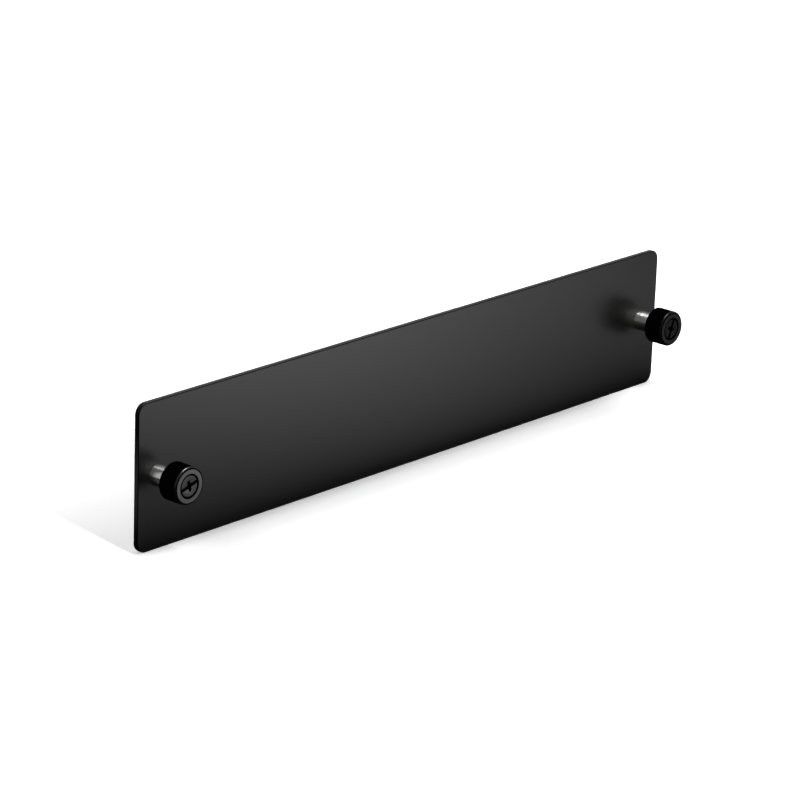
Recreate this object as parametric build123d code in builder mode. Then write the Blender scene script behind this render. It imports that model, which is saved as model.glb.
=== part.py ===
from build123d import *
import os

# Blank plate that closes an empty slot in the front of a rack chassis. A sprung captive
# thumbscrew near each end fastens it. Millimetres: X along the plate, Z up, +Y into the
# chassis. The origin is the middle of the plate's rear face, which seats on the chassis.

# Plate
plate_length = 213.0
plate_height = 41.0
plate_thickness = 1.5
plate_corner_radius = 3.0
plate_edge_chamfer = 0.2
screw_end_distance = 6.9

# Ferrule, a turned sleeve pressed into the plate from behind
ferrule_diameter = 5.8
ferrule_wall = 0.6
ferrule_lip_chamfer = 0.2
flange_diameter = 7.4
flange_thickness = 0.6
ledge_thickness = 0.8
skirt_overlap = 0.6

# Knob, shown sprung out, as it stands when the screw is loose
knob_diameter = 10.4
knob_length = 6.1
knob_standoff = 5.8
knob_front_chamfer = 0.5
knob_rear_chamfer = 0.25
knob_web = 0.7
skirt_clearance = 0.1

# Screw, M3 with a slotted cross recess
screw_diameter = 3.0
tapping_diameter = 2.5
thread_length = 3.4
thread_clearance = 0.15
tip_recess = 0.2
tip_chamfer = 0.35
head_diameter = 5.8
head_height = 1.2
head_inset = 0.1
head_edge_chamfer = 0.12
head_clearance = 0.4
boss_diameter = 3.6
shank_clearance = 0.08
slot_width = 0.95
slot_depth = 0.6
cross_span = 3.3
cross_wing = 1.0
cross_pit_diameter = 1.9
cross_depth = 1.3
cross_taper = 14.0

# Each recess stands as the screw was last turned, anticlockwise from +X seen from the front
recess_angles = {"left": 16.0, "right": 70.0}

# Spring
wire_diameter = 0.4
wire_sides = 6
spring_turns = 5
spring_side_clearance = 0.15
spring_end_clearance = 0.05

# Places along Y that the pieces share, worked out from the sizes above
screw_x = plate_length / 2 - screw_end_distance
plate_front = -plate_thickness
knob_rear = plate_front - knob_standoff
knob_front = knob_rear - knob_length
ferrule_front = knob_rear - skirt_overlap
head_front = knob_front + head_inset
head_rear = head_front + head_height
web_rear = head_rear + knob_web
thread_tip = -tip_recess
ledge_rear = thread_tip - thread_length
ledge_front = ledge_rear - ledge_thickness

# Radii that fit one another
ferrule_radius = ferrule_diameter / 2
flange_radius = flange_diameter / 2
spring_bore_radius = ferrule_radius - ferrule_wall
thread_radius = screw_diameter / 2
thread_bore_radius = thread_radius + thread_clearance
ledge_hole_radius = tapping_diameter / 2
shank_radius = ledge_hole_radius - shank_clearance
head_radius = head_diameter / 2
head_seat_radius = head_radius + head_clearance
boss_radius = boss_diameter / 2
skirt_radius = ferrule_radius + skirt_clearance
knob_radius = knob_diameter / 2
wire_radius = wire_diameter / 2
spring_radius = spring_bore_radius - spring_side_clearance - wire_radius


def turning_plane(x):
    # Local x is the radius from the screw's axis and local y runs along that axis
    return Plane(origin=(x, 0, 0), x_dir=(1, 0, 0), z_dir=(0, 0, 1))


def facing_plane(x, y, angle=0.0):
    # Looks out of the front at the place y on the axis, its local x turned by the angle
    across = Vector(1, 0, 0).rotate(Axis.Y, -angle)
    return Plane(origin=(x, y, 0), x_dir=across, z_dir=(0, -1, 0))


def write(piece, name):
    piece.part.label = name
    export_step(piece.part, f"parts/{name}.step")


def make_plate():
    with BuildPart() as plate:
        with BuildSketch(Plane.XZ):
            RectangleRounded(plate_length, plate_height, plate_corner_radius)
        extrude(amount=plate_thickness)
        chamfer(plate.faces().filter_by(Axis.Y).edges(), length=plate_edge_chamfer)
        # A stepped hole at each end holds a ferrule, whose flange ends flush with the rear face
        with BuildSketch(Plane.XZ):
            with GridLocations(2 * screw_x, 0, 2, 1):
                Circle(ferrule_radius)
        extrude(amount=plate_thickness, mode=Mode.SUBTRACT)
        with BuildSketch(Plane.XZ):
            with GridLocations(2 * screw_x, 0, 2, 1):
                Circle(flange_radius)
        extrude(amount=flange_thickness, mode=Mode.SUBTRACT)
    return plate


def make_ferrule(x):
    # Half section: flange and sleeve outside, then the spring's bore, the ledge that keeps
    # the screw in, and the bore that takes the loose thread
    with BuildPart() as ferrule:
        with BuildSketch(turning_plane(x)):
            with BuildLine():
                Polyline(
                    (thread_bore_radius, 0),
                    (flange_radius, 0),
                    (flange_radius, -flange_thickness),
                    (ferrule_radius, -flange_thickness),
                    (ferrule_radius, ferrule_front + ferrule_lip_chamfer),
                    (ferrule_radius - ferrule_lip_chamfer, ferrule_front),
                    (spring_bore_radius, ferrule_front),
                    (spring_bore_radius, ledge_front),
                    (ledge_hole_radius, ledge_front),
                    (ledge_hole_radius, ledge_rear),
                    (thread_bore_radius, ledge_rear),
                    close=True,
                )
            make_face()
        revolve(axis=Axis((x, 0, 0), (0, 1, 0)))
    return ferrule


def make_knob(x):
    # Half section: the front face with the seat for the screw's head, the grip, and the
    # cavity in which the knob slides over the ferrule
    with BuildPart() as knob:
        with BuildSketch(turning_plane(x)):
            with BuildLine():
                Polyline(
                    (boss_radius, head_rear),
                    (head_seat_radius, head_rear),
                    (head_seat_radius, knob_front),
                    (knob_radius - knob_front_chamfer, knob_front),
                    (knob_radius, knob_front + knob_front_chamfer),
                    (knob_radius, knob_rear - knob_rear_chamfer),
                    (knob_radius - knob_rear_chamfer, knob_rear),
                    (skirt_radius, knob_rear),
                    (skirt_radius, web_rear),
                    (boss_radius, web_rear),
                    close=True,
                )
            make_face()
        revolve(axis=Axis((x, 0, 0), (0, 1, 0)))
    return knob


def make_screw(x, recess_angle):
    with BuildPart() as screw:
        with BuildSketch(turning_plane(x)):
            with BuildLine():
                Polyline(
                    (0, head_front),
                    (head_radius - head_edge_chamfer, head_front),
                    (head_radius, head_front + head_edge_chamfer),
                    (head_radius, head_rear),
                    (boss_radius, head_rear),
                    (boss_radius, web_rear),
                    (shank_radius, web_rear),
                    (shank_radius, ledge_rear),
                    (thread_radius, ledge_rear),
                    (thread_radius, thread_tip - tip_chamfer),
                    (thread_radius - tip_chamfer, thread_tip),
                    (0, thread_tip),
                    close=True,
                )
            make_face()
        revolve(axis=Axis((x, 0, 0), (0, 1, 0)))
        # Slot across the whole head, then the tapering cross at its middle
        with BuildSketch(facing_plane(x, head_front, recess_angle)):
            Rectangle(head_diameter + slot_width, slot_width)
        extrude(amount=-slot_depth, mode=Mode.SUBTRACT)
        with BuildSketch(facing_plane(x, head_front, recess_angle)):
            Rectangle(cross_span, cross_wing)
            Rectangle(cross_wing, cross_span)
            Circle(cross_pit_diameter / 2)
        extrude(amount=-cross_depth, taper=cross_taper, mode=Mode.SUBTRACT)
    return screw


def make_spring(x):
    # Coiled from the ferrule's ledge to the knob's web, with ends ground flat. The wire is a
    # prism, which keeps the coil light.
    spring_rear = ledge_front - spring_end_clearance
    spring_front = web_rear + spring_end_clearance
    spring_length = spring_rear - spring_front
    with BuildPart() as spring:
        with BuildLine():
            coil = Helix(
                pitch=spring_length / spring_turns,
                height=spring_length,
                radius=spring_radius,
                center=(x, spring_front, 0),
                direction=(0, 1, 0),
            )
        with BuildSketch(Plane(origin=coil @ 0, z_dir=coil % 0)):
            RegularPolygon(wire_radius, wire_sides)
        sweep(is_frenet=True)
        for end, keep in ((spring_front, Keep.TOP), (spring_rear, Keep.BOTTOM)):
            split(bisect_by=Plane(origin=(x, end, 0), z_dir=(0, 1, 0)), keep=keep)
    return spring


os.makedirs("parts", exist_ok=True)
write(make_plate(), "plate")
for side, axis_x in (("left", -screw_x), ("right", screw_x)):
    write(make_ferrule(axis_x), f"{side}_ferrule")
    write(make_knob(axis_x), f"{side}_knob")
    write(make_screw(axis_x, recess_angles[side]), f"{side}_screw")
    write(make_spring(axis_x), f"{side}_spring")
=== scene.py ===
import bpy
import bmesh
import math
from mathutils import Matrix, Vector


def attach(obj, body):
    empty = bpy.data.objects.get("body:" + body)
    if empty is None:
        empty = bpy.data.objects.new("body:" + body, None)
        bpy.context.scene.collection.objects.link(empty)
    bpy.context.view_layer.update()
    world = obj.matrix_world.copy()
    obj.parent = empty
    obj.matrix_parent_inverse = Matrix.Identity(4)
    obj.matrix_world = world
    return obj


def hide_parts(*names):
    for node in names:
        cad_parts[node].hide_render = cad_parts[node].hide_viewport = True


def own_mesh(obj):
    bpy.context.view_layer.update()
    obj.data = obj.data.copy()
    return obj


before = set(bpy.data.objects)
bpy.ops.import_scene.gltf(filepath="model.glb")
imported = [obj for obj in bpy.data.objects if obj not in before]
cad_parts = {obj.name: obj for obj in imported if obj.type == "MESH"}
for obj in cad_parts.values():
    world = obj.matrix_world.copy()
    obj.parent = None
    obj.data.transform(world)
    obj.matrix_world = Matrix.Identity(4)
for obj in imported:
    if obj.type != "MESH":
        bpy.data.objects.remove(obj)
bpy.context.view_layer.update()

mm = 0.001
screwX = 99.6       # each screw's axis stands this far from the middle, in millimetres
sides = {"left": -screwX, "right": screwX}


# socket arithmetic, for shaders and for geometry trees

class Wire:
    def __init__(self, tree, socket):
        self.tree = tree
        self.socket = socket

    def __add__(self, other):
        return self.tree.maths("ADD", self, other)

    def __radd__(self, other):
        return self.tree.maths("ADD", other, self)

    def __sub__(self, other):
        return self.tree.maths("SUBTRACT", self, other)

    def __rsub__(self, other):
        return self.tree.maths("SUBTRACT", other, self)

    def __mul__(self, other):
        return self.tree.maths("MULTIPLY", self, other)

    def __rmul__(self, other):
        return self.tree.maths("MULTIPLY", other, self)

    def __truediv__(self, other):
        return self.tree.maths("DIVIDE", self, other)

    def __rtruediv__(self, other):
        return self.tree.maths("DIVIDE", other, self)

    def __abs__(self):
        return self.tree.maths("ABSOLUTE", self)

    def root(self):
        return self.tree.maths("SQRT", self)

    def part(self):
        return self.tree.maths("FRACT", self)

    def least(self, other):
        return self.tree.maths("MINIMUM", self, other)

    def most(self, other):
        return self.tree.maths("MAXIMUM", self, other)


class Tree:
    def __init__(self, nodeTree):
        self.nodeTree = nodeTree

    def add(self, kind, settings=None, inputs=None, output=None):
        # settings go in first, then the sockets' values or links; what comes back is the output
        # asked for, or else the first one that is enabled
        node = self.nodeTree.nodes.new(kind)
        for key, value in (settings or {}).items():
            setattr(node, key, value)
        for key, value in (inputs or {}).items():
            self.feed(node.inputs[key], value)
        if output:
            return Wire(self, node.outputs[output])
        shown = [socket for socket in node.outputs if socket.enabled]
        return Wire(self, shown[0]) if shown else node

    def maths(self, operation, *values):
        return self.add("ShaderNodeMath", {"operation": operation}, dict(enumerate(values)))

    def feed(self, socket, value):
        if isinstance(value, Wire):
            self.nodeTree.links.new(value.socket, socket)
        else:
            socket.default_value = value

    def split(self, vector):
        node = self.add("ShaderNodeSeparateXYZ", inputs={0: vector}).socket.node
        return [Wire(self, socket) for socket in node.outputs]

    def joined(self, x, y, z):
        return self.add("ShaderNodeCombineXYZ", inputs={0: x, 1: y, 2: z})


# material helpers

def newMaterial(name, base, roughness, constants):
    material = bpy.data.materials.new(name)
    material.use_nodes = True
    material.diffuse_color = (*base, 1.0)
    shader = material.node_tree.nodes["Principled BSDF"]
    shader.inputs["Base Color"].default_value = (*base, 1.0)
    shader.inputs["Roughness"].default_value = roughness
    for key, value in constants.items():
        shader.inputs[key].default_value = value
    return material, Tree(material.node_tree), shader


def objectPlace(tree):
    return tree.add("ShaderNodeTexCoord", output="Object")


def noise(tree, place, scale, detail=2.0):
    return tree.add("ShaderNodeTexNoise", inputs={"Vector": place, "Scale": scale, "Detail": detail})


def turnedGrooves(tree, radius, along, scale, detail=2.0):
    return noise(tree, tree.joined(radius, along, 0.0), scale, detail)


def blend(tree, factor, dark, light):
    # a Mix node's sockets 6 and 7 take its two colours, and its output 2 gives the blended one
    ends = [colour if isinstance(colour, Wire) else (*colour, 1.0) for colour in (dark, light)]
    return tree.add("ShaderNodeMix", {"data_type": "RGBA"}, {
        "Factor": factor, 6: ends[0], 7: ends[1]}, output=2)


def tint(tree, shader, factor, dark, light):
    tree.feed(shader.inputs["Base Color"], blend(tree, factor, dark, light))


def relief(tree, shader, height, depth):
    bump = tree.add("ShaderNodeBump", inputs={"Height": height, "Distance": depth * mm})
    tree.feed(shader.inputs["Normal"], bump)


def ramp(tree, value, low, high):
    # low and high are each a place in millimetres and the result there, with a soft step between them
    return tree.add("ShaderNodeMapRange", {"interpolation_type": "SMOOTHSTEP"}, {
        "Value": value, "From Min": low[0] * mm, "From Max": high[0] * mm,
        "To Min": low[1], "To Max": high[1]})


def uneven(middle, spread, pattern):
    # wanders with the pattern, at most the spread to each side of the middle
    return middle - spread + pattern * (2 * spread)


def mixed(first, share, second):
    # the first pattern has this share, and the second one the rest
    return first * share + second * (1.0 - share)


def screwRadius(tree, place):
    # distance from the nearer screw's axis and place along it, in metres
    x, y, z = tree.split(place)
    across = abs(x) - screwX * mm
    return (across * across + z * z).root(), y


sheenReach = 20.0    # the painted sheen grows from this far right of the middle to this far left of it


def paintedSheen(tree, place):
    # painted sheen: the left thumbscrew's face is painted bright, standing in for light that catches it, and
    # the right one's hardly at all
    x, y, z = tree.split(place)
    return ramp(tree, x, (sheenReach, 0.0), (-sheenReach, 1.0))


# mesh helpers

finishes = {}       # each finish is kept here by its slot's name


def addPiece(name, mesh, slot, body, nodes):
    piece = bpy.data.objects.new(name, mesh)
    bpy.context.scene.collection.objects.link(piece)
    mesh.materials.clear()
    mesh.materials.append(finishes[slot])
    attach(piece, body)
    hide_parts(*nodes)
    return piece


def shade(mesh, sharpFrom=32.0):
    mesh.shade_smooth()
    mesh.set_sharp_from_angle(angle=math.radians(sharpFrom))


def rounded(corners, steps=7, closed=True):
    # each corner is (radius, place along Y, rounding); a guard point beside each arc keeps the
    # flats next to it flat when shaded
    guard = 0.02
    points = []
    last = len(corners) - 1
    for index, (radius, along, rounding) in enumerate(corners):
        here = Vector((radius, along))
        if rounding <= 0.0 or (not closed and index in (0, last)):
            points.append(here)
            continue
        before = (Vector(corners[index - 1][:2]) - here).normalized()
        after = (Vector(corners[(index + 1) % len(corners)][:2]) - here).normalized()
        opening = before.angle(after)
        reach = rounding / math.tan(opening / 2)
        centre = here + (before + after).normalized() * (rounding / math.sin(opening / 2))
        spoke = here + before * reach - centre
        end = here + after * reach - centre
        turn = math.atan2(spoke.x * end.y - spoke.y * end.x, spoke.dot(end))
        points.append(here + before * (reach + guard))
        for step in range(steps + 1):
            points.append(centre + Matrix.Rotation(turn * step / steps, 2) @ spoke)
        points.append(here + after * (reach + guard))
    return points


def circle(shape, axisX, radius, along, facets):
    # a ring of new corners round a screw's axis
    ring = []
    for facet in range(facets):
        angle = 2 * math.pi * facet / facets
        ring.append(shape.verts.new((
            (axisX + radius * math.cos(angle)) * mm, along * mm, radius * math.sin(angle) * mm)))
    return ring


def join(shape, rings):
    faces = []
    for near, far in zip(rings, rings[1:]):
        for index in range(len(near)):
            after = (index + 1) % len(near)
            faces.append(shape.faces.new((near[index], near[after], far[after], far[index])))
    return faces


def lathe(shape, points, axisX, facets=96, closed=True):
    # turns the points about the screw's axis; an open row of points gets a flat cap at each end
    rings = [circle(shape, axisX, radius, along, facets) for radius, along in points]
    if closed:
        faces = join(shape, rings + rings[:1])
    else:
        faces = join(shape, rings) + [shape.faces.new(rings[0]), shape.faces.new(rings[-1])]
    bmesh.ops.recalc_face_normals(shape, faces=faces)


def asMesh(shape, name):
    mesh = bpy.data.meshes.new(name)
    shape.to_mesh(mesh)
    shape.free()
    return mesh


def evaluated(helper):
    mesh = bpy.data.meshes.new_from_object(helper.evaluated_get(bpy.context.evaluated_depsgraph_get()))
    bpy.data.objects.remove(helper)
    return mesh


def grown(name, sizes, material, build):
    # a geometry tree with the sizes as its named inputs, run once and given back as a plain mesh
    group = bpy.data.node_groups.new(name, "GeometryNodeTree")
    group.interface.new_socket("Geometry", in_out="OUTPUT", socket_type="NodeSocketGeometry")
    values = {}
    for label, value in sizes.items():
        kind = "NodeSocketInt" if isinstance(value, int) else "NodeSocketFloat"
        socket = group.interface.new_socket(label, in_out="INPUT", socket_type=kind)
        values[socket.identifier] = value
    socket = group.interface.new_socket("Material", in_out="INPUT", socket_type="NodeSocketMaterial")
    values[socket.identifier] = material

    tree = Tree(group)
    start = tree.add("NodeGroupInput").socket.node
    given = {socket.name: Wire(tree, socket) for socket in start.outputs if socket.name}
    whole = tree.add("GeometryNodeRealizeInstances", inputs={"Geometry": build(tree, given)})
    coloured = tree.add("GeometryNodeSetMaterial", inputs={"Geometry": whole, "Material": given["Material"]})
    tree.add("NodeGroupOutput", inputs={0: coloured})

    helper = bpy.data.objects.new("helper", bpy.data.meshes.new("helper"))
    bpy.context.scene.collection.objects.link(helper)
    modifier = helper.modifiers.new("grow", "NODES")
    modifier.node_group = group
    for identifier, value in values.items():
        modifier[identifier] = value
    bpy.context.view_layer.update()
    return evaluated(helper)


def alongScrew(mesh, axisX, start):
    # a grown mesh in millimetres, standing on +Z, is laid on the screw's axis with its top to +Y
    mesh.transform(Matrix.Translation((axisX * mm, start * mm, 0))
                   @ Matrix.Rotation(math.radians(-90), 4, "X") @ Matrix.Scale(mm, 4))


# plate

plateSizes = {
    "length": 213.0,
    "height": 41.0,
    "thickness": 1.5,
    "corner": 3.0,
    "edge": 0.16,
    "cornerFacets": 20,
    "edgeFacets": 6,
    "edgeGuard": 0.03,      # keeps the flats beside the rounded edge flat when shaded
    "hole": 2.9,
    "counterbore": 3.7,
    "counterboreDepth": 0.6,
    "holeEdge": 0.05,
    "holeFacets": 96,
    "sharpFrom": 28.0,
}
coatLook = {
    "dark": (0.0018, 0.0018, 0.0018),
    "light": (0.0030, 0.0030, 0.0030),
    "roughness": 0.30,
    "roughSpread": 0.03,
    "edgeRoughness": 0.2,   # added where the coat is thin
    "specular": 1.0,
    "peel": 1100.0,         # how fine the orange peel, the grain and the drift in colour are
    "grain": 5200.0,
    "drift": 22.0,
    "driftInColour": 0.6,   # the drift's or the peel's share, and the rest is the grain's
    "driftInGloss": 2 / 3,
    "peelInRelief": 0.75,
    "relief": 0.006,
    "thinAt": 0.1,          # the coat is thin this close to the outline, and whole this far in
    "wholeAt": 0.38,
    "endSkin": 0.03,        # within this of either end the surface is the end face's
    "endMiddle": -1.0,      # there the coat is thicker round this height,
    "endThick": 2.0,        # as far as this above and below it, and as thin as elsewhere
    "endThin": 15.0,        # this far away
    "endShare": 0.8,        # how much less it is thinned
}


def edgeInset(tree, x, z):
    # how far in from the plate's outline, in metres, up to the corner radius
    corner = plateSizes["corner"]
    across = (abs(x) - (plateSizes["length"] / 2 - corner) * mm).most(0.0)
    upward = (abs(z) - (plateSizes["height"] / 2 - corner) * mm).most(0.0)
    return corner * mm - (across * across + upward * upward).root()


def powderCoat():
    # the coat thins out and turns dull over the sheet's edges, least halfway up its two ends
    look = coatLook
    material, tree, shader = newMaterial("satinPowderCoat", look["light"], look["roughness"], {
        "Specular IOR Level": look["specular"]})
    place = objectPlace(tree)
    x, y, z = tree.split(place)
    halfLength = plateSizes["length"] / 2
    end = ramp(tree, abs(x), (halfLength - look["endSkin"], 0.0), (halfLength, 1.0))
    thick = ramp(tree, abs(z - look["endMiddle"] * mm), (look["endThick"], look["endShare"]), (
        look["endThin"], 0.0))
    thin = ramp(tree, edgeInset(tree, x, z), (look["thinAt"], 1.0), (look["wholeAt"], 0.0))
    thin = thin * (1.0 - end * thick)
    peel = noise(tree, place, look["peel"])
    grain = noise(tree, place, look["grain"], detail=1.0)
    drift = noise(tree, place, look["drift"], detail=3.0)
    tint(tree, shader, mixed(drift, look["driftInColour"], grain), look["dark"], look["light"])
    tree.feed(shader.inputs["Metallic"], thin)
    gloss = uneven(look["roughness"], look["roughSpread"], mixed(drift, look["driftInGloss"], grain))
    tree.feed(shader.inputs["Roughness"], gloss + thin * look["edgeRoughness"])
    relief(tree, shader, mixed(peel, look["peelInRelief"], grain), look["relief"])
    return material


def outlineRing(shape, inset, along):
    halfX = plateSizes["length"] / 2 - inset
    halfZ = plateSizes["height"] / 2 - inset
    corner = plateSizes["corner"] - inset
    facets = plateSizes["cornerFacets"]
    ring = []
    for quarter, (signX, signZ) in enumerate(((1, 1), (-1, 1), (-1, -1), (1, -1))):
        centreX = signX * (halfX - corner)
        centreZ = signZ * (halfZ - corner)
        for facet in range(facets + 1):
            angle = math.pi / 2 * (quarter + facet / facets)
            ring.append(shape.verts.new((
                (centreX + corner * math.cos(angle)) * mm, along * mm,
                (centreZ + corner * math.sin(angle)) * mm)))
    return ring


def ringEdges(shape, ring):
    return [shape.edges.get((ring[index], ring[(index + 1) % len(ring)])) for index in range(len(ring))]


def makePlate():
    size = plateSizes
    shape = bmesh.new()
    edge = size["edge"]
    guard = size["edgeGuard"]
    front = -size["thickness"]
    # the outline's rings run from the rear face over both rounded edges to the front, as (inset, along)
    steps = [math.pi / 2 * step / size["edgeFacets"] for step in range(size["edgeFacets"] + 1)]
    profile = [(edge + guard, 0.0)]
    profile += [(edge * (1 - math.sin(step)), -edge * (1 - math.cos(step))) for step in steps]
    profile += [(0.0, -edge - guard), (0.0, front + edge + guard)]
    profile += [(edge * (1 - math.cos(step)), front + edge * (1 - math.sin(step))) for step in steps]
    profile += [(edge + guard, front)]
    rim = [outlineRing(shape, inset, along) for inset, along in profile]
    join(shape, rim)
    fronts = [rim[-1]]
    rears = [rim[0]]

    # each stepped hole runs from the front face back to the rear one, as (radius, along)
    hole = size["hole"]
    wide = size["counterbore"]
    depth = -size["counterboreDepth"]
    small = size["holeEdge"]
    walls = [(hole + small, front), (hole, front + small), (hole, depth), (wide, depth),
             (wide, -small), (wide + small, 0.0)]
    for axisX in sides.values():
        bore = [circle(shape, axisX, radius, along, size["holeFacets"]) for radius, along in walls]
        join(shape, bore)
        fronts.append(bore[0])
        rears.append(bore[-1])
    for rings in (fronts, rears):
        edges = [found for ring in rings for found in ringEdges(shape, ring)]
        bmesh.ops.triangle_fill(shape, use_beauty=True, edges=edges)
    bmesh.ops.recalc_face_normals(shape, faces=shape.faces)
    mesh = asMesh(shape, "plateSheet")
    shade(mesh, size["sharpFrom"])
    addPiece("plateSheet", mesh, "powder_coat", "panel", ["plate"])


finishes["powder_coat"] = powderCoat()
makePlate()
print("plate made")


# ferrules

ferruleSizes = {
    "radius": plateSizes["hole"],
    "bore": 2.3,
    "front": -7.9,
    "flange": plateSizes["counterbore"],
    "flangeDepth": plateSizes["counterboreDepth"],
    "ledgeHole": 1.25,
    "ledgeFront": -4.4,
    "ledgeRear": -3.6,
    "threadBore": 1.65,
    "lipRound": 0.2,
    "boreRound": 0.1,
    "holeRound": 0.08,
    "flangeRearRound": 0.06,
    "flangeFrontRound": 0.04,
}
nickelLook = {
    "dark": (0.32, 0.316, 0.308),
    "light": (0.42, 0.415, 0.405),
    "roughness": 0.18,
    "roughSpread": 0.03,
    "grooves": 8000.0,
    "cloud": 420.0,
    "cloudInColour": 0.6,   # the cloud's share, and the rest is the grooves'
    "relief": 0.022,
    "lean": 0.176,          # the slope of the grooves' flanks, which rise towards the plate
}


def nickelPlate():
    # fine turned grooves run round the sleeve, lean to the front and draw the light out along it
    look = nickelLook
    material, tree, shader = newMaterial("brightNickel", look["light"], look["roughness"], {
        "Metallic": 1.0})
    place = objectPlace(tree)
    radius, along = screwRadius(tree, place)
    turned = turnedGrooves(tree, radius, along, look["grooves"], detail=3.0)
    cloud = noise(tree, place, look["cloud"])
    tint(tree, shader, mixed(cloud, look["cloudInColour"], turned), look["dark"], look["light"])
    tree.feed(shader.inputs["Roughness"], uneven(look["roughness"], look["roughSpread"], turned))
    relief(tree, shader, turned + along * (look["lean"] / (look["relief"] * mm)), look["relief"])
    return material


def makeFerrule(side, axisX):
    size = ferruleSizes
    corners = [
        (size["threadBore"], 0.0, size["holeRound"]),
        (size["flange"], 0.0, size["flangeRearRound"]),
        (size["flange"], -size["flangeDepth"], size["flangeFrontRound"]),
        (size["radius"], -size["flangeDepth"], 0.0),
        (size["radius"], size["front"], size["lipRound"]),
        (size["bore"], size["front"], size["boreRound"]),
        (size["bore"], size["ledgeFront"], 0.0),
        (size["ledgeHole"], size["ledgeFront"], size["holeRound"]),
        (size["ledgeHole"], size["ledgeRear"], size["holeRound"]),
        (size["threadBore"], size["ledgeRear"], 0.0),
    ]
    shape = bmesh.new()
    lathe(shape, rounded(corners), axisX)
    mesh = asMesh(shape, side + "Sleeve")
    shade(mesh)
    addPiece(side + "Sleeve", mesh, "nickel_plate", "panel", [side + "_ferrule"])


finishes["nickel_plate"] = nickelPlate()
for side, axisX in sides.items():
    makeFerrule(side, axisX)
print("ferrules made")


# knobs

knobSizes = {
    "radius": 5.2,
    "front": -13.4,
    "rear": -7.3,
    "seat": 3.3,
    "seatFloor": -12.1,
    "bossHole": 1.8,
    "skirt": 3.0,
    "webRear": -11.4,
    "frontRound": 0.62,
    "rearRound": 0.3,
    "seatRound": 0.06,
    "skirtRound": 0.15,
    "roundSteps": 9,
    "facets": 128,
}
knobLook = {
    "dark": (0.0006, 0.0006, 0.0007),
    "light": (0.0013, 0.0013, 0.0015),
    # the ring's and the rim's colours, plain and with the painted sheen
    "facePlain": (0.044, 0.044, 0.045),
    "faceSheen": (0.25, 0.25, 0.253),
    "rimPlain": (0.005, 0.005, 0.0055),
    "rimSheen": (0.013, 0.013, 0.0135),
    "sideRoughness": 0.62,
    "faceRoughness": 0.30,
    "roughSpread": 0.04,
    "specular": 0.0,
    "grooves": 9000.0,
    "mottle": 900.0,
    "mottleInColour": 0.5,  # the mottle's share of the grip's colour, and the rest is the grooves'
    "sheenMiddle": 0.95,     # how the grooves streak the painted sheen on the ring
    "sheenSpread": 0.15,
    "relief": 0.0022,
    "turnedFrom": -12.75,   # the turned front sets in between these two places along Y
    "turnedTo": -13.0,
    "ringInner": (3.36, 3.46),
    "ringOuter": (4.46, 4.56),
    "rimInner": (4.8, 4.94),
}


def blackAnodised():
    # the grip is bead-blasted and dull; the ring on its face and the rounding round it are turned bright
    look = knobLook
    material, tree, shader = newMaterial("blackAnodised", look["light"], look["sideRoughness"], {
        "Specular IOR Level": look["specular"]})
    place = objectPlace(tree)
    radius, along = screwRadius(tree, place)
    turned = turnedGrooves(tree, radius, along, look["grooves"])
    mottle = noise(tree, place, look["mottle"])
    front = ramp(tree, along, (look["turnedFrom"], 0.0), (look["turnedTo"], 1.0))
    inner, outer, edge = (look[key] for key in ("ringInner", "ringOuter", "rimInner"))
    ring = front * ramp(tree, radius, (inner[0], 0.0), (inner[1], 1.0)) * ramp(
        tree, radius, (outer[0], 1.0), (outer[1], 0.0))
    rim = front * ramp(tree, radius, (edge[0], 0.0), (edge[1], 1.0))
    # painted sheen: the left thumbscrew's ring and rim are painted brighter than the right one's
    sheenMask = paintedSheen(tree, place)
    grip = blend(tree, mixed(mottle, look["mottleInColour"], turned), look["dark"], look["light"])
    edged = blend(tree, rim, grip, blend(tree, sheenMask, look["rimPlain"], look["rimSheen"]))
    streakedSheen = sheenMask * uneven(look["sheenMiddle"], look["sheenSpread"], turned)
    tint(tree, shader, ring, edged, blend(tree, streakedSheen, look["facePlain"], look["faceSheen"]))
    bright = ring + rim
    tree.feed(shader.inputs["Metallic"], bright)
    gloss = uneven(look["sideRoughness"], look["roughSpread"], mottle)
    tree.feed(shader.inputs["Roughness"], gloss - bright * (look["sideRoughness"] - look["faceRoughness"]))
    relief(tree, shader, mixed(turned, bright, mottle), look["relief"])
    return material


def makeKnob(side, axisX):
    size = knobSizes
    corners = [
        (size["bossHole"], size["seatFloor"], 0.0),
        (size["seat"], size["seatFloor"], 0.0),
        (size["seat"], size["front"], size["seatRound"]),
        (size["radius"], size["front"], size["frontRound"]),
        (size["radius"], size["rear"], size["rearRound"]),
        (size["skirt"], size["rear"], size["skirtRound"]),
        (size["skirt"], size["webRear"], 0.0),
        (size["bossHole"], size["webRear"], 0.0),
    ]
    shape = bmesh.new()
    lathe(shape, rounded(corners, steps=size["roundSteps"]), axisX, facets=size["facets"])
    mesh = asMesh(shape, side + "Grip")
    shade(mesh)
    addPiece(side + "Grip", mesh, "black_anodised", side + "_thumbscrew", [side + "_knob"])


finishes["black_anodised"] = blackAnodised()
for side, axisX in sides.items():
    makeKnob(side, axisX)
print("knobs made")


# screws

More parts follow.
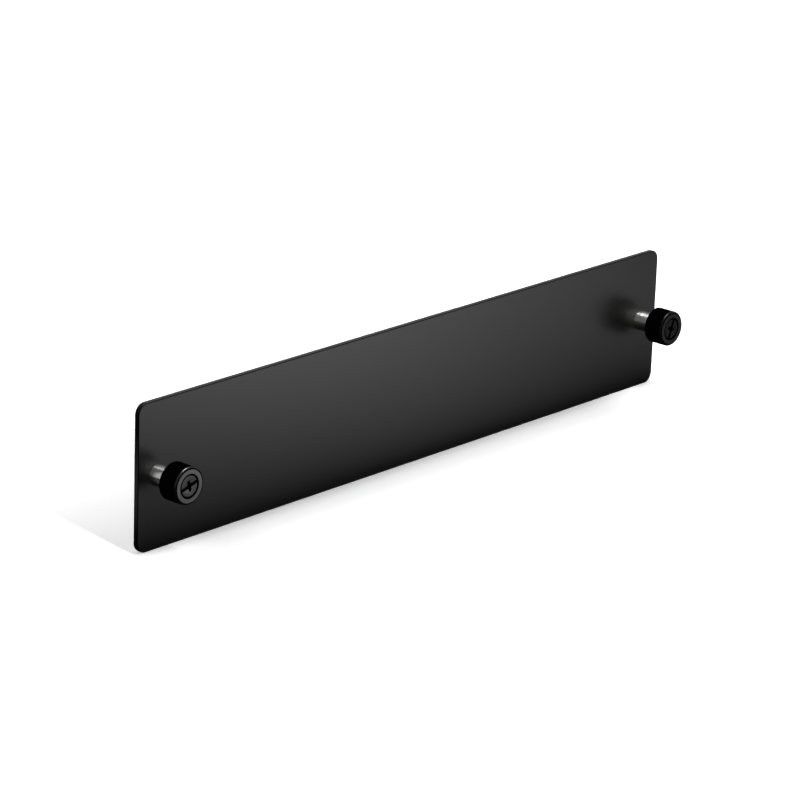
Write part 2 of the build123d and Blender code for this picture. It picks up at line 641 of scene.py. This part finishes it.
screwSizes = {
    "headRadius": 2.9,
    "headFront": -13.3,
    "headRear": knobSizes["seatFloor"],
    "headRound": 0.16,
    "bossRadius": knobSizes["bossHole"],
    "bossRear": knobSizes["webRear"],
    "shoulderRound": 0.06,
    "shankRadius": 1.17,
    "threadStart": ferruleSizes["ledgeRear"],
    "roundSteps": 6,
    "capInset": 0.02,       # the head's flat face begins this far inside its rounding
    "overlap": 0.3,         # the shank reaches this far into the thread
    "softening": 0.035,     # on the edges of the recess
    "softFrom": 40.0,
}
recessSizes = {
    "slotWidth": 0.95,
    "slotDepth": 0.6,
    "crossSpan": 3.3,
    "crossWing": 1.0,
    "crossDepth": 1.25,
    "taper": 14.0,
    "pitRadius": 0.95,
    "pitRise": 0.03,        # the round pit ends this much above the cross's floor
    "pitFacets": 24,
    "margin": 0.5,          # the cutter stands this far out of the head
}
recessAngles = {"left": 16.0, "right": 70.0}    # degrees, anticlockwise seen from the front
threadSizes = {
    "Length": 3.4,
    "Crest Radius": 1.49,
    "Root Radius": 1.2,
    "Pitch": 0.5,
    "Tip Chamfer": 0.35,
    "Flank Slope": 1.3,     # the flanks' zigzag is stretched this much and lowered this much, and
    "Root Flat": 0.15,      # what goes past the root or the crest is cut off flat
    "Run In Slope": 1.2,    # how fast the thread rises from its root at the start
    "Facets": 64,
    "Rings": 96,
}
screwLook = {
    "plainZinc": (0.026, 0.026, 0.027),
    "zincSheen": (0.150, 0.150, 0.153),
    # painted shade: the near-black colour for everything on the head but its flat face and the shaft, so the
    # recess and the rim
    "recess": (0.004, 0.004, 0.004),
    "roughness": 0.27,
    "roughSpread": 0.04,
    "grooves": 7000.0,
    "mottle": 1500.0,
    "mottleInRelief": 0.4,  # the mottle's share, and the rest is the grooves'
    "sheenMiddle": 1.0,      # how the mottle breaks up the painted sheen
    "sheenSpread": 0.25,
    "relief": 0.003,
    "faceFrom": -13.2,      # the head's face, where the painted sheen goes, sets in between these two places along Y
    "faceTo": -13.28,
    "faceEdge": (2.74, 2.86),
    "shaftFrom": -12.0,     # the plain zinc of the shaft sets in between these, behind the head
    "shaftTo": -11.9,
}


def blackenedSteel():
    # black zinc, with a painted sheen on the left head's face, and painted shade, nearly black, down in the
    # recess and round the rim
    look = screwLook
    material, tree, shader = newMaterial("blackZincSteel", look["plainZinc"], look["roughness"], {
        "Metallic": 1.0})
    place = objectPlace(tree)
    radius, along = screwRadius(tree, place)
    mottle = noise(tree, place, look["mottle"], detail=3.0)
    turned = turnedGrooves(tree, radius, along, look["grooves"])
    edge = look["faceEdge"]
    face = ramp(tree, along, (look["faceFrom"], 0.0), (look["faceTo"], 1.0)) * ramp(
        tree, radius, (edge[0], 1.0), (edge[1], 0.0))
    shaft = ramp(tree, along, (look["shaftFrom"], 0.0), (look["shaftTo"], 1.0))
    # painted sheen on the left head's face
    sheenMask = paintedSheen(tree, place) * uneven(look["sheenMiddle"], look["sheenSpread"], mottle)
    platingAndSheen = blend(tree, face * sheenMask, look["plainZinc"], look["zincSheen"])
    # painted shade: the recess and the head's rim take the near-black colour
    tint(tree, shader, face.most(shaft), look["recess"], platingAndSheen)
    tree.feed(shader.inputs["Roughness"], uneven(look["roughness"], look["roughSpread"], mottle))
    relief(tree, shader, mixed(mottle, look["mottleInRelief"], turned), look["relief"])
    return material


def threadedRod(tree, given):
    # a cylinder whose radius follows the thread's helix, from its start to its chamfered tip
    rod = tree.add("GeometryNodeMeshCylinder", {"fill_type": "NGON"}, {
        "Vertices": given["Facets"], "Side Segments": given["Rings"], "Radius": 1.0, "Depth": 1.0})
    x, y, z = tree.split(tree.add("GeometryNodeInputPosition"))
    along = (z + 0.5) * given["Length"]
    angle = tree.maths("ARCTAN2", y, x)
    wave = 1.0 - abs((along / given["Pitch"] - angle * (0.5 / math.pi)).part() * 2.0 - 1.0)
    flank = (wave * given["Flank Slope"] - given["Root Flat"]).most(0.0).least(1.0)
    radius = given["Root Radius"] + (given["Crest Radius"] - given["Root Radius"]) * flank
    radius = radius.least(given["Crest Radius"] - given["Tip Chamfer"] + (given["Length"] - along))
    radius = radius.least(given["Root Radius"] + along * given["Run In Slope"])
    turned = tree.joined(tree.maths("COSINE", angle) * radius, tree.maths("SINE", angle) * radius, along)
    return tree.add("GeometryNodeSetPosition", inputs={"Geometry": rod, "Position": turned})


def recessCutter(axisX, angle):
    # the slot right across the head, the tapering cross and its round pit, as one loose cutter
    size = recessSizes
    face = screwSizes["headFront"]
    margin = size["margin"]
    cutter = bmesh.new()

    def prism(outline, shrink, depth):
        # the outline gives, for how much it has shrunk, its corners across and up
        rings = []
        for along, less in ((face - margin, -shrink * margin), (face + depth, shrink * depth)):
            rings.append([cutter.verts.new((x * mm, along * mm, z * mm)) for x, z in outline(less)])
        faces = [cutter.faces.new(ring) for ring in rings]
        faces += join(cutter, rings)
        bmesh.ops.recalc_face_normals(cutter, faces=faces)

    def oblong(halfX, halfZ):
        return lambda less: [(signX * (halfX - less), signZ * (halfZ - less))
                             for signX, signZ in ((1, 1), (-1, 1), (-1, -1), (1, -1))]

    def disc(less):
        radius = size["pitRadius"] - less
        steps = [2 * math.pi * facet / size["pitFacets"] for facet in range(size["pitFacets"])]
        return [(radius * math.cos(step), radius * math.sin(step)) for step in steps]

    slope = math.tan(math.radians(size["taper"]))
    wing = size["crossWing"] / 2
    span = size["crossSpan"] / 2
    prism(oblong(screwSizes["headRadius"] + margin, size["slotWidth"] / 2), 0.0, size["slotDepth"])
    prism(oblong(span, wing), slope, size["crossDepth"])
    prism(oblong(wing, span), slope, size["crossDepth"])
    prism(disc, slope, size["crossDepth"] - size["pitRise"])
    bmesh.ops.rotate(cutter, verts=cutter.verts, cent=(0, 0, 0),
                     matrix=Matrix.Rotation(math.radians(-angle), 3, "Y"))
    bmesh.ops.translate(cutter, verts=cutter.verts, vec=(axisX * mm, 0, 0))
    return asMesh(cutter, "recessCutter")


def carved(mesh, cutterMesh):
    helper = bpy.data.objects.new("helper", mesh)
    cutter = bpy.data.objects.new("cutter", cutterMesh)
    for loose in (helper, cutter):
        bpy.context.scene.collection.objects.link(loose)
    cut = helper.modifiers.new("recess", "BOOLEAN")
    cut.operation = "DIFFERENCE"
    cut.solver = "EXACT"
    cut.use_self = True
    cut.object = cutter
    softened = helper.modifiers.new("softened", "BEVEL")
    softened.width = screwSizes["softening"] * mm
    softened.segments = 2
    softened.limit_method = "ANGLE"
    softened.angle_limit = math.radians(screwSizes["softFrom"])
    bpy.context.view_layer.update()
    result = evaluated(helper)
    bpy.data.objects.remove(cutter)
    return result


def makeScrew(side, axisX):
    size = screwSizes
    corners = [
        (size["headRadius"] - size["headRound"] - size["capInset"], size["headFront"], 0.0),
        (size["headRadius"], size["headFront"], size["headRound"]),
        (size["headRadius"], size["headRear"], size["shoulderRound"]),
        (size["bossRadius"], size["headRear"], 0.0),
        (size["bossRadius"], size["bossRear"], size["shoulderRound"]),
        (size["shankRadius"], size["bossRear"], 0.0),
        (size["shankRadius"], size["threadStart"] + size["overlap"], 0.0),
    ]
    shape = bmesh.new()
    lathe(shape, rounded(corners, steps=size["roundSteps"], closed=False), axisX, closed=False)
    body = carved(asMesh(shape, "screwBody"), recessCutter(axisX, recessAngles[side]))
    thread = grown("threadedRod", threadSizes, finishes["blackened_steel"], threadedRod)
    alongScrew(thread, axisX, size["threadStart"])
    whole = bmesh.new()
    whole.from_mesh(body)
    whole.from_mesh(thread)
    mesh = asMesh(whole, side + "Screw")
    shade(mesh)
    addPiece(side + "Screw", mesh, "blackened_steel", side + "_thumbscrew", [side + "_screw"])


finishes["blackened_steel"] = blackenedSteel()
for side, axisX in sides.items():
    makeScrew(side, axisX)
print("screws made")


# springs

springGap = 0.05    # between the spring and what it bears on, at each end
springSizes = {
    "rear": ferruleSizes["ledgeFront"] - springGap,
    "front": knobSizes["webRear"] + springGap,
    "travel": 3.4,
    "sharpFrom": 50.0,
}
coilSizes = {
    "Length": springSizes["rear"] - springSizes["front"],
    "Coil Radius": 1.95,
    "Wire Radius": 0.2,
    "Turns": 5.0,
    "Closing": 0.55,        # how much closer the turns lie at the ends
    "Facets": 14,
    "Points": 56,
}
wireLook = {
    "dark": (0.42, 0.42, 0.41),
    "light": (0.56, 0.56, 0.55),
    "roughness": 0.25,
    "roughSpread": 0.04,
    "drawn": 4000.0,
    "relief": 0.002,
}


def springWire():
    look = wireLook
    material, tree, shader = newMaterial("drawnSpringWire", look["light"], look["roughness"], {
        "Metallic": 1.0})
    drawn = noise(tree, objectPlace(tree), look["drawn"])
    tint(tree, shader, drawn, look["dark"], look["light"])
    tree.feed(shader.inputs["Roughness"], uneven(look["roughness"], look["roughSpread"], drawn))
    relief(tree, shader, drawn, look["relief"])
    return material


def coiledWire(tree, given):
    coil = tree.add("GeometryNodeCurveSpiral", inputs={
        "Resolution": given["Points"], "Rotations": given["Turns"],
        "Start Radius": given["Coil Radius"], "End Radius": given["Coil Radius"], "Height": 1.0})
    x, y, z = tree.split(tree.add("GeometryNodeInputPosition"))
    eased = z - given["Closing"] * tree.maths("SINE", z * (2 * math.pi)) * (0.5 / math.pi)
    along = eased * (given["Length"] - given["Wire Radius"]) + given["Wire Radius"] * 0.5
    spaced = tree.add("GeometryNodeSetPosition", inputs={
        "Geometry": coil, "Position": tree.joined(x, y, along)})
    section = tree.add("GeometryNodeCurvePrimitiveCircle", inputs={
        "Resolution": given["Facets"], "Radius": given["Wire Radius"]})
    wire = tree.add("GeometryNodeCurveToMesh", inputs={
        "Curve": spaced, "Profile Curve": section, "Fill Caps": True})
    # both end turns are ground flat
    x, y, z = tree.split(tree.add("GeometryNodeInputPosition"))
    return tree.add("GeometryNodeSetPosition", inputs={
        "Geometry": wire, "Position": tree.joined(x, y, z.most(0.0).least(given["Length"]))})


def makeSpring(side, axisX):
    size = springSizes
    length = coilSizes["Length"]
    mesh = grown("coiledWire", coilSizes, finishes["spring_steel"], coiledWire)
    alongScrew(mesh, axisX, size["front"])
    shade(mesh, size["sharpFrom"])
    piece = addPiece(side + "Coil", mesh, "spring_steel", side + "_spring_body", [side + "_spring"])
    size["rear"] * mm
    (length - size["travel"]) / length
    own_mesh(piece)


finishes["spring_steel"] = springWire()
for side, axisX in sides.items():
    makeSpring(side, axisX)
print("springs made")


# floor, light and camera

floorSizes = {
    "height": -20.5,
    "reach": 2600.0,
    "paper": (0.9, 0.9, 0.9),
    "roughness": 0.9,
    "nearLift": 0.29,       # how much the camera's floor is lifted round the plate, and how that changes at its foot, a little way in front and at its ends, which paints shade at the foot and light at the ends
    "footLift": -0.07,      # changes at its foot, a little way in front and at its ends
    "frontLift": 0.09,
    "frontReach": 5.0,
    "endLift": 0.42,
    "endShift": 4.0,        # the lift at the ends is centred this far left of the middle, and sets
    "endStart": 75.0,       # in between these two distances from there
    "endFull": 107.0,
    "shadowLean": 0.15,     # the shadow's ends run this much to the right as they go back,
    "shadowInside": -0.2,   # and it gives way to plain white from here to here across them
    "shadowEdge": 1.2,
    "liftStart": 20.0,      # beyond this distance from the plate the floor whitens, up to this one
    "liftEnd": 150.0,
    "contact": 13.0,        # how far the painted shade at the plate's foot reaches in reflections
    "contactShare": 0.22,
    "whitePerMm": 0.005,    # they see it whiten with the distance, and with the distance cubed
    "whiteGrowth": 0.00000025,
    "glowCentre": 5.0,      # where along X that white is strongest, how much that place moves to
    "glowSkew": 0.6,        # the right with the distance, and how far it reaches to both sides
    "glowWidth": 140.0,
}


def seenLift(tree, x, y, distance):
    # how white the floor is for the camera by itself, on top of the plate's real shadow; it also paints
    # shade, less white near the plate and darker at its foot, and paints light at its ends and plain white
    # beyond the shadow's ends
    size = floorSizes
    ends = ramp(tree, abs(x + size["endShift"] * mm), (size["endStart"], 0.0), (
        size["endFull"], size["endLift"]))
    front = ramp(tree, distance, (0.0, size["footLift"]), (size["frontReach"], size["frontLift"]))
    lift = ramp(tree, distance, (size["liftStart"], size["nearLift"]), (size["liftEnd"], 1.0))
    lift = lift + (ends + front) * ramp(tree, y, (-plateSizes["thickness"], 1.0), (0.0, 0.0))
    outside = abs(x - y * size["shadowLean"]) - plateSizes["length"] / 2 * mm
    return lift.most(ramp(tree, outside, (size["shadowInside"], 0.0), (size["shadowEdge"], 1.0)))


def mirroredWhite(tree, x, away, distance):
    # how white reflections see it: painted shade, darker towards the foot of the plate, and a painted pool of
    # white that fades to both sides
    size = floorSizes
    square = distance * distance
    foot = square / (square + (size["contact"] * mm) ** 2) * size["contactShare"]
    white = foot + distance * (size["whitePerMm"] / mm) + square * distance * (size["whiteGrowth"] / mm ** 3)
    aside = (x - away * size["glowSkew"] - size["glowCentre"] * mm) / (size["glowWidth"] * mm)
    return white.least(1.0) * tree.maths("EXPONENT", aside * aside * -1.0)


def whitePaper():
    size = floorSizes
    material, tree, shader = newMaterial("whitePaper", size["paper"], size["roughness"], {
        "Specular IOR Level": 0.0, "Emission Strength": 1.0})
    x, y, z = tree.split(objectPlace(tree))
    halfThickness = plateSizes["thickness"] / 2 * mm
    beyond = (abs(x) - plateSizes["length"] / 2 * mm).most(0.0)
    away = (abs(y + halfThickness) - halfThickness).most(0.0)
    distance = (beyond * beyond + away * away).root()
    seen = tree.add("ShaderNodeLightPath", output="Is Camera Ray")
    tree.feed(shader.inputs["Emission Color"], seen * seenLift(tree, x, y, distance))
    mirrored = tree.add("ShaderNodeLightPath", output="Is Glossy Ray")
    glow = tree.add("ShaderNodeEmission", inputs={"Color": mirroredWhite(tree, x, away, distance)})
    both = tree.add("ShaderNodeMixShader", inputs={0: mirrored, 1: Wire(tree, shader.outputs[0]), 2: glow})
    tree.feed(material.node_tree.nodes["Material Output"].inputs["Surface"], both)
    return material


def makeFloor():
    shape = bmesh.new()
    reach = floorSizes["reach"] * mm
    shape.faces.new([shape.verts.new((x, y, floorSizes["height"] * mm)) for x, y in (
        (-reach, -reach), (reach, -reach), (reach, reach), (-reach, reach))])
    mesh = asMesh(shape, "paperFloor")
    floor = bpy.data.objects.new("paperFloor", mesh)
    bpy.context.scene.collection.objects.link(floor)
    mesh.materials.append(whitePaper())


ambient = 0.05      # the world's share of the light on the object


def makeWorld():
    # white to the camera and in reflections, and dim to everything else
    world = bpy.data.worlds.new("studio")
    bpy.context.scene.world = world
    world.use_nodes = True
    tree = Tree(world.node_tree)
    shown = tree.add("ShaderNodeLightPath", output="Is Camera Ray")
    for ray in ("Is Glossy Ray", "Is Transmission Ray"):
        shown = shown.most(tree.add("ShaderNodeLightPath", output=ray))
    tree.feed(world.node_tree.nodes["Background"].inputs["Color"], shown * (1.0 - ambient) + ambient)


# places and sizes in millimetres, power in watts; the overhead light doesn't show in reflections, and
# the gleam light, which draws the gleam on the bright parts, shows only there
lamps = {
    "overheadLight": {"place": (0, 52, 300), "target": (0, 52, 0), "size": (900, 100), "power": 0.95,
                      "glossy": False},
    "frontLight": {"place": (-66, -417, 795), "target": (0, 0, 0), "size": (50, 600), "power": 2.7},
    "gleamLight": {"place": (150, 30, 950), "target": (150, 30, 0), "size": (400, 120), "power": 44.0,
                   "diffuse": False},
}


def makeLamp(name, settings):
    light = bpy.data.lights.new(name, "AREA")
    light.shape = "RECTANGLE"
    light.size = settings["size"][0] * mm
    light.size_y = settings["size"][1] * mm
    light.energy = settings["power"]
    lamp = bpy.data.objects.new(name, light)
    bpy.context.scene.collection.objects.link(lamp)
    middle = Vector(settings["place"]) * mm
    target = Vector(settings["target"]) * mm
    lamp.location = middle
    lamp.rotation_euler = (target - middle).to_track_quat("-Z", "Y").to_euler()
    lamp.visible_camera = False
    lamp.visible_diffuse = settings.get("diffuse", True)
    lamp.visible_glossy = settings.get("glossy", True)


cameraPlace = {
    "location": (-749.88, -661.31, 334.61),
    "heading": 48.4255,
    "tilt": -18.6465,
    "roll": 1.9866,
    "lens": 170.99,
    "sensor": 36.0,
    "clipStart": 10.0,
}


def makeCamera():
    camera = bpy.data.cameras.new("camera")
    camera.sensor_width = cameraPlace["sensor"]
    camera.lens = cameraPlace["lens"]
    camera.clip_start = cameraPlace["clipStart"] * mm
    holder = bpy.data.objects.new("camera", camera)
    bpy.context.scene.collection.objects.link(holder)
    heading, tilt, roll = (math.radians(cameraPlace[key]) for key in ("heading", "tilt", "roll"))
    forward = Vector((math.sin(heading) * math.cos(tilt), math.cos(heading) * math.cos(tilt), math.sin(tilt)))
    right = forward.cross(Vector((0, 0, 1))).normalized()
    up = right.cross(forward)
    rightRolled = right * math.cos(roll) + up * math.sin(roll)
    upRolled = up * math.cos(roll) - right * math.sin(roll)
    turn = Matrix((rightRolled, upRolled, -forward)).transposed().to_4x4()
    holder.matrix_world = Matrix.Translation(Vector(cameraPlace["location"]) * mm) @ turn
    bpy.context.scene.camera = holder


makeFloor()
makeWorld()
for name, settings in lamps.items():
    makeLamp(name, settings)
makeCamera()
bpy.context.scene.view_settings.view_transform = "Standard"
print("stage made")
